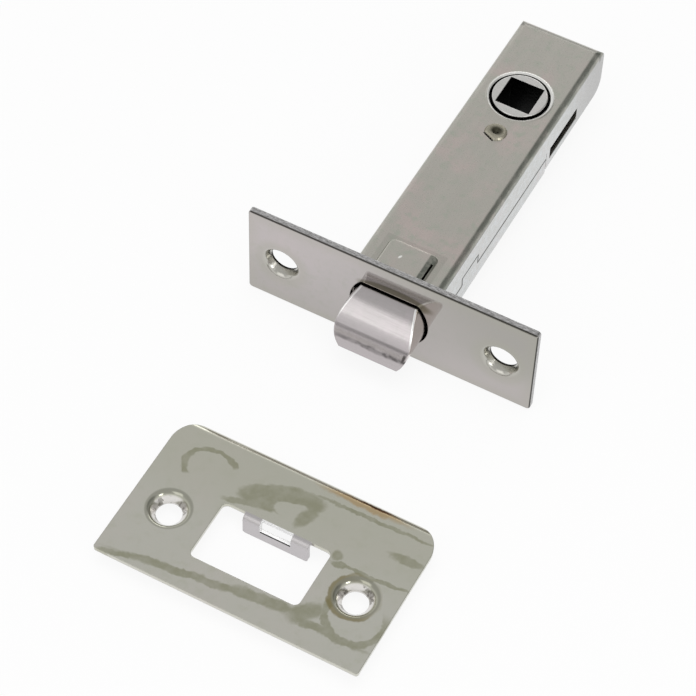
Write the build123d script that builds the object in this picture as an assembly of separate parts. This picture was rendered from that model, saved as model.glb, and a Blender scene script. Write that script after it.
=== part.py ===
from build123d import *
from math import cos, radians, sin
import os

# Door plate: millimetres, X along the plate, Y into the door, Z up, origin at the front on the screw line
plate_length = 67.0
plate_height = 25.0
plate_thickness = 1.5
plate_rise = 0.8
plate_corner = 0.8
plate_edge = 0.4
screw_inset = 7.7

# Pressed screw seats
seat_wall = 0.75
seat_blend = 1.4
plate_seat_hole_r = 3.2
plate_seat_rim_r = 4.1
plate_seat_depth = 2.1

# Latch bolt: a round bar with two flats and a curved bevel on top
bolt_side_gap = 0.35
bolt_flat = 5.6
bolt_reach = 9.2
bolt_back = 6.4
bolt_nose_depth = 9.0
bolt_nose_level = -3.7
bolt_toe = 0.5
bolt_edge = 0.3
bevel_start = 0.3
bevel_radius = 12.0
mouth_gap = 0.55
mouth_flat_gap = 0.75
mouth_corner = 1.2

# Stem and its button behind the yoke
stem_r = 2.4
stem_button_r = 3.2
stem_button_length = 2.0
stem_edge = 0.4
stem_slack = 0.2

# Folded case
sheet = 0.9
case_width = 19.8
case_top = 8.9
case_bottom = -6.8
case_behind_spindle = 22.5
top_bend = 1.5
bottom_bend = 2.2
rear_bend = 3.0
rear_corner = 3.5
rear_wall_foot = 0.2
wall_foot = -4.0
step_before_spindle = 5.6
step_slit = 0.25
step_slit_top = 1.4
ear_width = 4.5
ear_low = 0.4
ear_high = 7.0

# Side seam between the two halves, with one locking tab a side
seam_level = -0.4
seam_gap = 0.2
tab_front = 14.1
tab_rear = 21.4
tab_top = 2.0
tab_undercut = 0.5

# Side slots beside the follower
slot_before_spindle = 3.8
slot_behind_spindle = 9.9
slot_low = -2.0
slot_high = 1.4

# Raised panel over the bolt, cut free along one side
hump_left = -5.8
hump_right = 5.7
hump_rear = 11.6
hump_height = 0.7
hump_corner = 1.6
hump_slope = 40
hump_right_run = 2.0
hump_edge = 0.25
hump_slit_at = 5.0
hump_slit_width = 0.45
hump_slit_front = 4.6
hump_slit_rear = 9.2

# Follower and the rolled rims round it
backset = 60.0
spindle_square = 8.1
hub_r = 6.1
hub_proud = 0.55
hub_edge = 0.3
hub_gap = 0.6
rim_round = 0.5
rim_sink = 0.35
rim_trim = 0.05
collar_step = 1.4
collar_thickness = 1.3
collar_gap = 0.3
turn_angle = 72.0
finger_r = 0.8
finger_low = -2.0
finger_high = 0.4
finger_gap = 0.25

# Yoke that the follower draws back
yoke_strip = 1.2
yoke_front = 24.0
yoke_side_gap = 0.3
yoke_low = -4.2
yoke_arm_low = 0.8
yoke_high = 5.2
yoke_bend = 1.5
hook_gap = 0.6
stem_hole_gap = 0.4

# Springs and the fixed stop between them
spring_clear = 0.05
bolt_spring_wire = 0.4
bolt_spring_r = 4.0
bolt_spring_turns = 8
return_spring_wire = 0.55
return_spring_r = 5.1
return_spring_turns = 9
stop_before_spindle = 12.4
stop_thickness = 1.5
stop_side_gap = 0.4
tenon_r = 1.4
tenon_gap = 0.1

# Staked heads on the stop's tenons, sheared flat on one side
head_r = 2.5
head_height = 0.45
head_slope = 45
head_flat_at = 1.95
head_flat_angle = -115
head_slit_width = 0.3
head_slit_length = 3.0
punch_r = 0.9
punch_tip_r = 0.2
punch_depth = 0.5

# Cover floor nested between the case walls behind the step
nest_gap = 0.1
nest_bend = 1.5
nest_top = -2.6
nest_behind_spindle = 19.0

# Strike plate lying in front of the latch
strike_centre = 4.0
strike_near = -75.6
strike_length = 59.4
strike_sheet = 1.0
strike_top = -6.4
strike_lip_at = -41.3
strike_lip_r = 2.8
strike_lip_angle = 60
strike_corner_far = 6.5
strike_corner_near = 0.6
strike_hole_spacing = 42.4
strike_hole_row = -60.5
strike_seat_hole_r = 2.7
strike_seat_rim_r = 4.2
strike_seat_depth = 2.0
window_width = 24.6
window_near = -68.0
window_far = -53.7
window_corner = 1.3
lip_tab_width = 14.8
lip_tab_bend = 1.4
lip_tab_drop = 5.3
lip_tab_corner = 0.6
lip_window_width = 7.0
lip_window_drop = 2.75

# Sizes that follow from the ones above
reach_all = 200.0
quarter_turn = 90
half_turn = 180
screw_spacing = plate_length - 2 * screw_inset
case_half = case_width / 2
inner_half = case_half - sheet
inner_top = case_top - sheet
inner_bottom = case_bottom + sheet
case_end = backset + case_behind_spindle
step_at = backset - step_before_spindle
slot_front = backset - slot_before_spindle
slot_rear = backset + slot_behind_spindle
nest_end = backset + nest_behind_spindle
stop_front = backset - stop_before_spindle
bolt_r = inner_half - bolt_side_gap
bolt_throw = bolt_reach
hub_hole_r = hub_r + hub_gap
collar_r = hub_r + collar_step
lead_angle = turn_angle / 2
finger_reach = bolt_throw / (2 * sin(radians(lead_angle)))
hook_front = backset - finger_reach * sin(radians(lead_angle)) + finger_r + finger_gap
yoke_rear_face = yoke_front + yoke_strip
yoke_half_width = inner_half - yoke_side_gap
arm_inner = yoke_half_width - yoke_strip
hook_inner = hub_r + hook_gap
stop_half_width = arm_inner - stop_side_gap
stop_middle = stop_front + stop_thickness / 2


def from_front(sketch, start, depth):
    """Carries a sketch drawn as (x, z) from y = start to y = start + depth."""
    return Pos(0, start + depth, 0) * Rot(quarter_turn, 0, 0) * extrude(sketch, depth)


def from_side(sketch, half_width):
    """Carries a sketch drawn as (y, z) to both sides of x = 0."""
    return extrude(Plane.YZ * sketch, half_width, both=True)


def block(x0, x1, y0, y1, z0, z1):
    """A box from its limits."""
    return Pos((x0 + x1) / 2, (y0 + y1) / 2, (z0 + z1) / 2) * Box(x1 - x0, y1 - y0, z1 - z0)


def both_sides(shape):
    """A shape and its mirror image across the middle plane."""
    return shape + mirror(shape, Plane.YZ)


def screw_seats(plate, places, hole_r, rim_r, depth):
    """Presses conical screw seats into a plate at the given locations, each facing its own +Z."""
    boss_depth = depth + seat_wall / 2
    boss = Pos(0, 0, -boss_depth / 2) * Cone(hole_r + seat_wall, rim_r + seat_wall, boss_depth)
    cone = Pos(0, 0, -depth / 2) * Cone(hole_r, rim_r, depth)
    bore = Cylinder(hole_r, reach_all)
    for place in places:
        plate += place * boss
    for place in places:
        plate -= place * (cone + bore)
    for place in places:
        spot = place.position
        rounds = plate.edges().filter_by(GeomType.CIRCLE)
        rim = [e for e in rounds if (e.arc_center - spot).length < seat_wall and e.radius > hole_r]
        plate = fillet(rim, seat_blend)
    return plate


def bar_section(radius, flat):
    """A round with its top and bottom cut flat."""
    return Circle(radius) & Rectangle(2 * radius, 2 * flat)


def make_faceplate():
    """The polished door plate with its bolt mouth and two pressed screw seats."""
    outline = Pos(0, plate_rise) * RectangleRounded(plate_length, plate_height, plate_corner)
    plate = from_front(outline, 0, plate_thickness)
    plate = fillet(plate.faces().sort_by(Axis.Y)[0].edges(), plate_edge)
    half = screw_spacing / 2
    places = [Pos(x, 0, 0) * Rot(quarter_turn, 0, 0) for x in (-half, half)]
    plate = screw_seats(plate, places, plate_seat_hole_r, plate_seat_rim_r, plate_seat_depth)
    mouth = bar_section(bolt_r + mouth_gap, bolt_flat + mouth_flat_gap)
    mouth = fillet(mouth.vertices(), mouth_corner)
    return plate - from_front(mouth, -plate_thickness, 3 * plate_thickness)


def make_bolt():
    """The latch bolt: bar section carried along Y, then cut to the bevelled side view."""
    bar = from_front(bar_section(bolt_r, bolt_flat), -bolt_reach, bolt_reach + bolt_back)
    start = (-bevel_start, bolt_flat)
    nose = (-bolt_nose_depth, bolt_nose_level)
    toe_top = (-bolt_reach, -bolt_flat + bolt_toe)
    toe_low = (-bolt_reach + bolt_toe, -bolt_flat)
    rear_low = (bolt_back, -bolt_flat)
    rear_top = (bolt_back, bolt_flat)
    bevel = RadiusArc(start, nose, -bevel_radius)
    rest = Polyline(nose, toe_top, toe_low, rear_low, rear_top, start)
    bolt = bar & from_side(make_face([bevel, rest]), bolt_r)
    bevel_face = bolt.faces().filter_by(GeomType.CYLINDER).sort_by(SortBy.AREA)[-1]
    return fillet(bevel_face.edges(), bolt_edge)


def make_stem():
    """The stem behind the bolt, with the button that the yoke pulls on."""
    button_at = yoke_rear_face + stem_slack
    shank = from_front(Circle(stem_r), bolt_back, button_at - bolt_back)
    button = from_front(Circle(stem_button_r), button_at, stem_button_length)
    button = chamfer(button.faces().sort_by(Axis.Y)[-1].edges(), stem_edge)
    return shank + button


def case_block(inset):
    """The case's outside, or its inside when inset by the sheet."""
    half = case_half - inset
    top = case_top - inset
    end = case_end - inset
    tall = 2 * case_end
    section = Pos(0, top - tall / 2) * RectangleRounded(2 * half, tall, top_bend - inset)
    side = Pos(end - tall / 2, top - tall / 2) * RectangleRounded(tall, tall, rear_bend - inset)
    return from_front(section, -case_end, 3 * case_end) & from_side(side, case_width)


def locking_tab(grow):
    """Side view of the cover's locking tab, grown all round for the notch it sits in."""
    low = seam_level - seam_gap - grow
    high = tab_top + grow
    front = tab_front - grow
    rear = tab_rear + grow
    return Polygon((front, high), (front + tab_undercut, low), (rear, low), (rear, high), align=None)


def wall_outline():
    """Side view of the case walls, with the seam, the step and the rounded rear corner."""
    front = plate_thickness
    high = case_top + sheet
    outline = Polygon(
        (front, high),
        (case_end, high),
        (case_end, wall_foot),
        (step_at, wall_foot),
        (step_at, seam_level),
        (front, seam_level),
        align=None,
    )
    corner = outline.vertices().sort_by_distance((case_end, wall_foot, 0))[0]
    return fillet(corner, rear_corner) - locking_tab(seam_gap)


def hump_shape(inset, base):
    """The raised panel's solid above a level, or the hollow under it when inset."""
    width = hump_right - hump_left - 2 * inset
    length = hump_rear - inset
    outline = RectangleRounded(width, 2 * length, hump_corner)
    middle = (hump_left + hump_right) / 2
    panel = Pos(middle, 0, base) * extrude(outline, hump_height, taper=hump_slope)
    foot = hump_right - inset
    over = base + 2 * hump_height
    far_side = foot + hump_right_run
    crest = foot - 2 * hump_right_run
    above = Polygon((foot, base), (far_side, base), (far_side, over), (crest, over), align=None)
    panel -= from_front(above, -2 * length, 4 * length)
    panel = fillet(panel.faces().sort_by(Axis.Z)[-1].edges(), hump_edge)
    return panel & block(-case_half, case_half, plate_thickness, case_end, base, case_top + reach_all)


def rim_bead(hole_r):
    """The rolled rim round a hole, a ring of round section that the hole trims."""
    return Torus(hole_r + rim_round - rim_trim, rim_round)


def make_case():
    """Upper half of the case: top, side walls, rear wall, raised panel, rolled rim and front ears."""
    shell = (case_block(0) - case_block(sheet)) & from_side(wall_outline(), case_width)
    shell -= block(-inner_half, inner_half, case_end - rear_bend, case_end, -reach_all, rear_wall_foot)
    shell += hump_shape(0, case_top)
    shell -= hump_shape(sheet / 2, inner_top)
    shell += Pos(0, backset, case_top - rim_sink) * rim_bead(hub_hole_r)
    shell -= Pos(0, backset, case_top) * Cylinder(hub_hole_r, 2 * case_end)
    shell -= Pos(0, stop_middle, case_top) * Cylinder(tenon_r + tenon_gap, 4 * sheet)
    slit = Pos(hump_slit_at, (hump_slit_front + hump_slit_rear) / 2, case_top)
    shell -= slit * Box(hump_slit_width, hump_slit_rear - hump_slit_front, 4 * sheet)
    head_slit = Pos(0, stop_middle, case_top) * Rot(0, 0, head_flat_angle)
    head_slit *= Pos(head_flat_at + head_slit_width / 2, 0, 0)
    shell -= head_slit * Box(head_slit_width, head_slit_length, 4 * sheet)
    shell -= block(-case_width, case_width, slot_front, slot_rear, slot_low, slot_high)
    shell -= block(-case_width, case_width, step_at, step_at + step_slit, wall_foot - sheet, step_slit_top)
    ear_back = plate_thickness + sheet
    ear = block(inner_half, case_half + ear_width, plate_thickness, ear_back, ear_low, ear_high)
    return shell + both_sides(ear)


def channel(half, bend, top, start, end):
    """A floor with two upturned flanges: half width, outer bend, flange top, and its run along Y."""
    tall = reach_all
    outer = Pos(0, case_bottom + tall / 2) * RectangleRounded(2 * half, tall, bend)
    inner = Pos(0, inner_bottom + tall / 2) * RectangleRounded(2 * (half - sheet), tall, bend - sheet)
    trough = from_front(outer - inner, start, end - start)
    return trough & block(-case_width, case_width, start, end, case_bottom, top)


def make_cover():
    """Lower half of the case: a channel flush with the walls in front, nested between them behind."""
    low_line = seam_level - seam_gap
    front = channel(case_half, bottom_bend, tab_top, plate_thickness, step_at)
    low_side = Pos(step_at / 2, (case_bottom + low_line) / 2) * Rectangle(step_at, low_line - case_bottom)
    front = front & from_side(low_side + locking_tab(0), case_width)
    rear = channel(inner_half - nest_gap, nest_bend, nest_top, step_at, nest_end)
    rear_side = Pos(nest_end - reach_all / 2, case_bottom + reach_all / 2)
    rear = rear & from_side(rear_side * RectangleRounded(reach_all, reach_all, rear_corner / 2), case_width)
    cover = front + rear
    cover += Pos(0, backset, case_bottom + rim_sink) * rim_bead(hub_hole_r)
    cover -= Pos(0, backset, case_bottom) * Cylinder(hub_hole_r, 4 * sheet)
    return cover - Pos(0, stop_middle, case_bottom) * Cylinder(tenon_r + tenon_gap, 4 * sheet)


def staked_head():
    """The spread end of a tenon on its own base plane, with one flat side and a punch mark."""
    sheared = Rot(0, 0, head_flat_angle) * Pos(head_flat_at + head_r, 0) * Rectangle(2 * head_r, 2 * head_r)
    head = extrude(Circle(head_r) - sheared, head_height, taper=head_slope)
    return head - Pos(0, 0, head_height - punch_depth / 2) * Cone(punch_tip_r, punch_r, punch_depth)


def make_stop():
    """The fixed plate that the return spring bears on, with a tenon staked over each half of the case."""
    stop_rear = stop_front + stop_thickness
    stop = block(-stop_half_width, stop_half_width, stop_front, stop_rear, inner_bottom, inner_top)
    tenons = Pos(0, stop_middle, (case_top + case_bottom) / 2) * Cylinder(tenon_r, case_top - case_bottom)
    upper_head = Pos(0, stop_middle, case_top) * staked_head()
    lower_head = Pos(0, stop_middle, case_bottom) * Rot(half_turn, 0, 0) * staked_head()
    return stop + tenons + upper_head + lower_head


def make_yoke():
    """The stirrup: front strip with the stem hole, two arms and the hooks that the fingers push."""
    hook_rear = hook_front + yoke_strip
    outer = block(-yoke_half_width, yoke_half_width, yoke_front, hook_rear, yoke_low, yoke_high)
    outer = fillet(outer.edges().filter_by(Axis.Z).group_by(Axis.Y)[0], yoke_bend)
    inner = block(-arm_inner, arm_inner, yoke_rear_face, hook_rear, yoke_low, yoke_high)
    inner = fillet(inner.edges().filter_by(Axis.Z).group_by(Axis.Y)[0], yoke_bend - yoke_strip)
    yoke = outer - inner
    yoke -= block(-case_half, case_half, yoke_front + 2 * yoke_bend, hook_rear, yoke_low, yoke_arm_low)
    hook = block(hook_inner, yoke_half_width, hook_front, hook_rear, finger_low, yoke_high)
    yoke += both_sides(hook)
    return yoke - from_front(Circle(stem_r + stem_hole_gap), 0, backset)


def make_follower():
    """The follower: square hole, hub through both halves, two retaining collars and two fingers."""
    top = case_top + hub_proud
    low = case_bottom - hub_proud
    hub = Pos(0, 0, (top + low) / 2) * Cylinder(hub_r, top - low)
    hub = fillet(hub.edges().filter_by(GeomType.CIRCLE), hub_edge)
    collar = Cylinder(collar_r, collar_thickness)
    upper = Pos(0, 0, inner_top - collar_gap - collar_thickness / 2) * collar
    lower = Pos(0, 0, inner_bottom + collar_gap + collar_thickness / 2) * collar
    finger = Pos(finger_reach / 2, 0) * Rectangle(finger_reach, 2 * finger_r)
    finger += Pos(finger_reach, 0) * Circle(finger_r)
    finger = Rot(0, 0, -lead_angle) * extrude(finger, finger_high - finger_low)
    fingers = Pos(0, 0, finger_low) * both_sides(finger)
    square = Box(spindle_square, spindle_square, reach_all)
    return Pos(0, backset, 0) * (hub + upper + lower + fingers - square)


def make_spring(wire, radius, turns, start, end):
    """A coil of round wire along Y, lying between two faces."""
    length = end - start - 2 * wire - 2 * spring_clear
    path = Helix(length / turns, length, radius)
    wire_end = Plane(origin=path @ 0, z_dir=path % 0)
    coil = sweep(wire_end * Circle(wire), path, is_frenet=True)
    return Pos(0, end - wire - spring_clear, 0) * Rot(quarter_turn, 0, 0) * coil


def make_bolt_spring():
    """The light spring that presses the bolt forward off the yoke."""
    return make_spring(bolt_spring_wire, bolt_spring_r, bolt_spring_turns, bolt_back, yoke_front)


def make_return_spring():
    """The strong spring that presses the yoke forward off the stop."""
    wire = return_spring_wire
    return make_spring(wire, return_spring_r, return_spring_turns, yoke_rear_face, stop_front)


def lip_profile(base, radius, thickness, angle, run):
    """Section of a sheet that runs flat along +X for a length, then rolls down through an angle."""
    flat = Polyline((-run, 0), (0, 0))
    outer_end = (radius * sin(radians(angle)), radius * (cos(radians(angle)) - 1))
    inner = radius - thickness
    inner_end = (inner * sin(radians(angle)), inner * cos(radians(angle)) - radius)
    roll = RadiusArc((0, 0), outer_end, radius)
    edge = Line(outer_end, inner_end)
    under = RadiusArc(inner_end, (0, -thickness), -inner)
    back = Polyline((0, -thickness), (-run, -thickness), (-run, 0))
    return Pos(*base) * make_face([flat, roll, edge, under, back])


def make_strike():
    """The strike plate: rolled far lip, two screw seats, bolt window and the folded tab with its slot."""
    run = strike_lip_at - strike_near
    section = lip_profile((strike_lip_at, strike_top), strike_lip_r, strike_sheet, strike_lip_angle, run)
    strike = from_side(section, strike_length / 2)
    far = strike_lip_at + strike_lip_r * sin(radians(strike_lip_angle))
    plan_depth = far - strike_near
    plan = Pos(0, (far + strike_near) / 2) * Rectangle(strike_length, plan_depth)
    plan = fillet(plan.vertices().group_by(Axis.Y)[-1], strike_corner_far)
    plan = fillet(plan.vertices().group_by(Axis.Y)[0], strike_corner_near)
    strike = strike & extrude(plan, -2 * case_end)
    window = Pos(0, (window_near + window_far) / 2)
    window = window * RectangleRounded(window_width, window_far - window_near, window_corner)
    strike -= Pos(0, 0, strike_top - 2 * strike_sheet) * extrude(window, 4 * strike_sheet)
    strike += make_strike_tab()
    half = strike_hole_spacing / 2
    places = [Pos(x, strike_hole_row, strike_top) for x in (-half, half)]
    strike = screw_seats(strike, places, strike_seat_hole_r, strike_seat_rim_r, strike_seat_depth)
    return Pos(strike_centre, 0, 0) * strike


def make_strike_tab():
    """The tab folded down from the window's far edge, with a slot across its bend."""
    section = lip_profile((0, 0), lip_tab_bend, strike_sheet, quarter_turn, strike_sheet)
    bend = extrude(Plane.YZ * section, lip_tab_width / 2, both=True)
    leaf_height = lip_tab_drop - lip_tab_bend
    leaf = Pos(0, -leaf_height / 2) * Rectangle(lip_tab_width, leaf_height)
    leaf = fillet(leaf.vertices().group_by(Axis.Y)[0], lip_tab_corner)
    leaf = Pos(0, 0, -lip_tab_bend) * from_front(leaf, lip_tab_bend - strike_sheet, strike_sheet)
    slot_half = lip_window_width / 2
    slot = block(-slot_half, slot_half, 0, 2 * lip_tab_bend, -lip_window_drop, strike_sheet)
    tab = Rot(0, 0, half_turn) * (bend + leaf - slot)
    return Pos(0, window_far, strike_top) * tab


def main():
    """Builds every piece and writes each one to its own file."""
    pieces = {
        "faceplate": make_faceplate(),
        "case_shell": make_case(),
        "case_cover": make_cover(),
        "spring_stop": make_stop(),
        "latch_bolt": make_bolt(),
        "bolt_stem": make_stem(),
        "bolt_spring": make_bolt_spring(),
        "yoke": make_yoke(),
        "return_spring": make_return_spring(),
        "follower": make_follower(),
        "strike_plate": make_strike(),
    }
    os.makedirs("parts", exist_ok=True)
    for name, shape in pieces.items():
        export_step(shape, "parts/" + name + ".step")


main()
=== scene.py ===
import math

import bmesh
import bpy
from mathutils import Matrix, Vector


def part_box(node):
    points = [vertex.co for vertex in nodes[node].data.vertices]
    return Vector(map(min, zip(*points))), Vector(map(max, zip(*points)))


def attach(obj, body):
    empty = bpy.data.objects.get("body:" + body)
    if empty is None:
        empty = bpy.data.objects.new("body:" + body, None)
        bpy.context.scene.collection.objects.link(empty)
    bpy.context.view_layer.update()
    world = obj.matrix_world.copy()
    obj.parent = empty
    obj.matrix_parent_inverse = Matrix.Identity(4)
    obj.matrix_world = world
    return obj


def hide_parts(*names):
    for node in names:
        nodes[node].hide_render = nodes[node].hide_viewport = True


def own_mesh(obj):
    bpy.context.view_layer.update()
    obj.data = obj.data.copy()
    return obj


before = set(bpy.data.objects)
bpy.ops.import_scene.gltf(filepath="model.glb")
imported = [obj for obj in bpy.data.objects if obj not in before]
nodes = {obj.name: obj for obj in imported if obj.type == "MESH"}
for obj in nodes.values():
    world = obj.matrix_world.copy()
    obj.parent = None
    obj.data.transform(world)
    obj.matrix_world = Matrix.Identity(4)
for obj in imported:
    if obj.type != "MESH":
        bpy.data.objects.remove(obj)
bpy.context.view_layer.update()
scene = bpy.context.scene
scene.view_settings.view_transform = "Standard"

MM = 0.001
FAR = 1000.0
WHITE = (1.0, 1.0, 1.0, 1.0)


def box_in_mm(node):
    """The low and the high corner of a node's box, in millimetres."""
    low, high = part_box(node)
    return low / MM, high / MM


plate_low, plate_high = box_in_mm("faceplate")
follower_low, follower_high = box_in_mm("follower")
strike_low, strike_high = box_in_mm("strike_plate")
shell_high = box_in_mm("case_shell")[1]
cover_high = box_in_mm("case_cover")[1]
bolt_high = box_in_mm("latch_bolt")[1]

# Sizes of the case and the follower, in millimetres
SHEET = 0.9
PANEL_HALF = 7.0
PANEL_END = 12.5
PANEL_HEIGHT = 0.7
PANEL_SLOPE_FROM = 3.6
CASE_HALF = cover_high.x
CASE_TOP = shell_high.z - PANEL_HEIGHT
CASE_BOTTOM = -6.8
CASE_BEND = 1.5
CASE_END = shell_high.y
SEAM_LEVEL = -0.4
SEAM_END = 54.4
LOCK_MIDDLE = 17.75
LOCK_HALF = 3.65
LOCK_TOP = cover_high.z
CREASE_END = 34.0
REAR_BEND_AT = CASE_END - 2.2
REAR_BEND_FOOT = CASE_TOP - 2.5
WALL_DIM_FROM = 56.0
WALL_DIM_TO = 80.0
SPINDLE_AT = 60.0
SQUARE_HALF = 4.05
HUB_HOLE = 6.7
HUB_FACE = 0.42
RIM_REACH = 5.0
RIM_NARROW = 0.35
RIM_WIDE = 0.8
HEAD_AT = 48.35

# Sizes of the faceplate and the bolt, in millimetres
SEAT_AT = 25.8
SEAT_HOLE = 3.2
SEAT_DEPTH = 2.1
FRONT_EDGE = 0.33
MOUTH_TOP = 6.35
MOUTH_EDGE_HALF = 6.0
BOLT_HALF = bolt_high.x
BEVEL_PAINT_FROM = -6.6
WIDE_LINE_LEVEL = -2.2
DARK_END_LEVEL = -1.5
DARK_END_IN = 0.65
EDGE_HIGHLIGHT_IN = 0.2
NOSE_FROM = -7.0
MOUTH_FROM = 0.2

# Sizes of the strike, in millimetres
STRIKE_TOP = strike_high.z
STRIKE_PRESSED = STRIKE_TOP - 0.8
STRIKE_TINT_FROM = -64.0
STRIKE_TINT_TO = -46.0
STRIKE_ROW = -60.5
STRIKE_SEAT_AT = 21.2
STRIKE_SEAT_RIM = 4.6
TAB_MIDDLE = (strike_low.x + strike_high.x) / 2
TAB_HALF = 7.6
TAB_FRONT = -55.1
TAB_BACK = -53.6
TAB_SLOT_HALF = 3.5
TAB_SLOT_FOOT = -9.15

# How far a mask reaches past the surface that it covers, and its soft border there, in millimetres
SKIN = 0.03
SKIN_SOFT = 0.04

# Springs: wire radius in millimetres, turns, steps and sides, and the pitch of the closed first turn in wire
# radii
BOLT_WIRE = 0.4
BOLT_TURNS = 8
RETURN_WIRE = 0.55
RETURN_TURNS = 9
SPRING_STEPS = 28
WIRE_SIDES = 10
CLOSED_PITCH = 1.2

# Stains, marks, a painted glint and a painted reflection that are ovals: middle and half sizes in
# millimetres, then any tilt in degrees
# Painted glint on the small dent in the raised panel.
PANEL_GLINT = ((-1.6, 7.4), (0.5, 0.24), 64.0)
PUNCH_MARK = ((0.1, HEAD_AT + 0.2), (1.4, 1.1))
# Painted reflection of the bolt in the plate, laid over the mouth.
MOUTH_REFLECTION = ((1.2, 6.2), (8.8, 2.3))
WATER_STAINS = {
    "near band": ((-5.5, -72.0), (17.0, 0.95), 7.4),
    "near tail": ((-21.0, -74.5), (4.5, 0.7), 16.0),
    "near fan": ((9.5, -69.9), (7.5, 1.25), 5.0),
    "corner fan": ((18.2, -68.3), (3.9, 2.0), 48.0),
    "corner band": ((23.5, -70.5), (9.0, 0.85)),
    "far tail": ((20.0, -43.0), (14.0, 0.45), 2.0),
    "window tip": ((-5.0, -51.9), (4.2, 0.8), 14.0),
    "tab side": ((7.8, -49.2), (1.5, 2.6), -20.0),
    "right patch": ((29.8, -48.3), (3.7, 0.95)),
    "right blob": ((17.5, -53.8), (1.2, 1.2), 40.0),
    "right head": ((18.7, -55.7), (1.8, 0.7), 10.0),
    "right strip": ((25.5, -55.1), (8.5, 0.45), 3.0),
}
LEAF = ((1.4, -47.7), (8.8, 3.4), 17.0)
LEAF_ISLAND = ((4.0, -49.0), (3.5, 1.8), 18.0)
LOOP = ((27.4, -64.6), (6.2, 6.2))
HOOK = ((-14.8, -48.2), (5.6, 4.4))
GOLD_RING = ((25.0, -60.7), (4.75, 4.75))
GOLD_EDGE = ((16.5, -40.7), (9.0, 0.9))
BROWN_EDGE = ((18.5, -40.0), (4.5, 0.4))

# Studio: the floor, the dim corner of the surroundings, and the softboxes, in metres and degrees
FLOOR_SIZE = 6.0
FLOOR_GAP = 0.00002
FLOOR_WHITE = 0.88
DIM_CORNER_WAY = (0.62, 0.62, 0.47)
DIM_CORNER_FROM = 38.0
DIM_CORNER_FULL = 22.0
LAMP_AIM = (0.0, 0.01, 0.0)
SOFTBOXES = {
    "overhead": {"place": (0.1, -0.1, 1.1), "size": (0.9, 0.9), "level": 2.4, "mirrored": False},
    "front": {"place": (-0.25, -0.67, 0.69), "size": (0.6, 0.6), "level": 0.75},
    "right_front": {"place": (0.74, -0.36, 0.5), "size": (0.26, 0.3), "level": 3.5},
    "rear": {"place": (-0.25, 0.95, 0.38), "size": (0.6, 0.22), "level": 1.3},
}

# Viewpoint, in degrees and millimetres
VIEW_AZIMUTH = 26.846
VIEW_ELEVATION = 53.139
VIEW_ROLL = 2.098
VIEW_RIGHT = -8.428
VIEW_UP = -7.292
VIEW_DISTANCE = 559.686
LENS = 139.397
SENSOR = 36.0


def tone(red, green, blue):
    """A colour given as it looks on screen, from 0 to 255, made linear."""
    def linear(value):
        share = value / 255
        return share / 12.92 if share <= 0.04045 else ((share + 0.055) / 1.055) ** 2.4
    return (linear(red), linear(green), linear(blue), 1.0)


# Small helpers for shader nodes
def feed(tree, socket, value):
    """Links another node's output to a socket, or sets the socket's value."""
    if isinstance(value, bpy.types.NodeSocket):
        tree.links.new(value, socket)
    else:
        socket.default_value = value


def put(tree, kind, inputs=None, **settings):
    """Adds a node with its options, and feeds its inputs by name or number."""
    node = tree.nodes.new(kind)
    for key, value in settings.items():
        setattr(node, key, value)
    for key, value in (inputs or {}).items():
        feed(tree, node.inputs[key], value)
    return node


def math_of(tree, operation, first, second=0.0):
    """What one operation makes of two values."""
    return put(tree, "ShaderNodeMath", {0: first, 1: second}, operation=operation).outputs[0]


def vector_of(tree, operation, first, second):
    """What one operation makes of two vectors."""
    return put(tree, "ShaderNodeVectorMath", {0: first, 1: second}, operation=operation).outputs[0]


def dot_of(tree, first, second):
    """How far two vectors point the same way."""
    inputs = {0: first, 1: second}
    return put(tree, "ShaderNodeVectorMath", inputs, operation="DOT_PRODUCT").outputs["Value"]


def times(tree, first, *others):
    """The product of values."""
    for other in others:
        first = math_of(tree, "MULTIPLY", first, other)
    return first


def most(tree, first, *others):
    """The largest of values."""
    for other in others:
        first = math_of(tree, "MAXIMUM", first, other)
    return first


def minus(tree, first, second):
    """What is left of the first value without the second."""
    return math_of(tree, "SUBTRACT", first, second)


def rest_of(tree, mask):
    """A mask turned about: 1 where it was 0."""
    return minus(tree, 1.0, mask)


def size_of(tree, value):
    """A value without its sign."""
    return math_of(tree, "ABSOLUTE", value)


def off(tree, value, middle):
    """How far a value lies from a middle, to either side."""
    return size_of(tree, minus(tree, value, middle))


def span(tree, value, low, high, to_low=0.0, to_high=1.0):
    """Carries a value from one range smoothly to another."""
    inputs = {"Value": value, "From Min": low, "From Max": high, "To Min": to_low, "To Max": to_high}
    return put(tree, "ShaderNodeMapRange", inputs, interpolation_type="SMOOTHSTEP").outputs[0]


def below(tree, value, limit, soft):
    """1 where a value lies under a limit, with a soft change there."""
    return span(tree, value, limit + soft / 2, limit - soft / 2)


def above(tree, value, limit, soft):
    """1 where a value lies over a limit, with a soft change there."""
    return span(tree, value, limit - soft / 2, limit + soft / 2)


def near(tree, value, middle, half, soft):
    """1 where a value lies within half of a middle, with a soft change at both ends."""
    return below(tree, off(tree, value, middle), half, soft)


def away_from(tree, first, second):
    """The distance of a point from the axis where both values are 0."""
    squares = math_of(tree, "ADD", times(tree, first, first), times(tree, second, second))
    return math_of(tree, "SQRT", squares)


def blend_colour(tree, share, low, high):
    """Goes from one colour to another by a share."""
    return put(tree, "ShaderNodeMix", {0: share, 6: low, 7: high}, data_type="RGBA").outputs[2]


def lay_coats(tree, colour, coats):
    """Lays tints over a colour one after another, each with its mask and its strength there."""
    for mask, strength, tint in coats:
        colour = blend_colour(tree, times(tree, mask, strength), colour, tint)
    return colour


def place_in_mm(tree):
    """The point on the piece, in millimetres in the shared frame at rest."""
    point = put(tree, "ShaderNodeTexCoord").outputs["Object"]
    return put(tree, "ShaderNodeVectorMath", {0: point, "Scale": 1 / MM}, operation="SCALE").outputs[0]


def along_axes(tree, place):
    """The three parts of a place."""
    return put(tree, "ShaderNodeSeparateXYZ", {0: place}).outputs


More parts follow.
